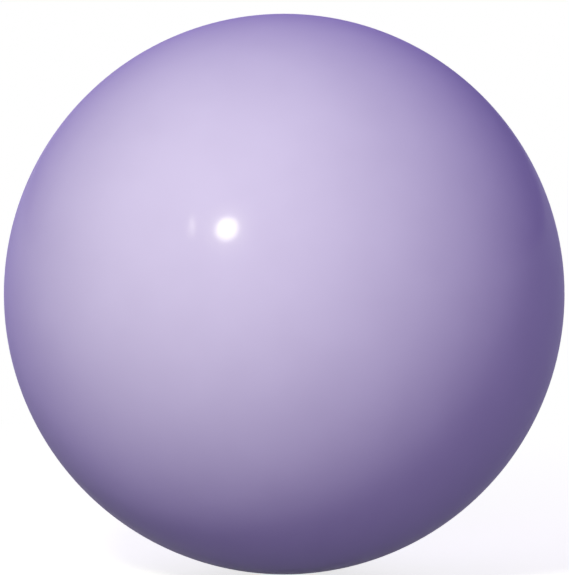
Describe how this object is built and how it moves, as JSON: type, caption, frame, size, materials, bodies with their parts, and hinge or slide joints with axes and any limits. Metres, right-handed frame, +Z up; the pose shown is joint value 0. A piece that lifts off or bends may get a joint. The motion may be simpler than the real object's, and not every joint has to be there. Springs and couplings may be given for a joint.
{
  "type": "rhythmic gymnastics ball",
  "caption": "Smooth inflated rubber ball for rhythmic gymnastics: a glossy lavender cover over an air bladder, with a flush self-sealing plug valve that pulls out for replacement.",
  "frame": {"origin": "centre of the ball", "axes": "+Y along the valve axis, out through the valve; +Z up; +X completes the right-handed set"},
  "size_m": [0.185, 0.1847, 0.185],
  "materials": {
    "cover_rubber": "gloss",
    "bladder_rubber": "matte",
    "patch_rubber": "matte",
    "housing_rubber": "satin",
    "core_rubber": "satin"
  },
  "bodies": {
    "ball": {"cover": "cover_rubber", "bladder": "bladder_rubber", "valve_patch": "patch_rubber", "valve_housing": "housing_rubber", "balance_patch": "patch_rubber"},
    "plug": {"valve_core": "core_rubber"}
  },
  "joints": [
    {"name": "valve_core_pull", "type": "slide", "parent": "ball", "child": "plug", "axis": [0, 1, 0], "range_m": [0, 0.02]}
  ]
}
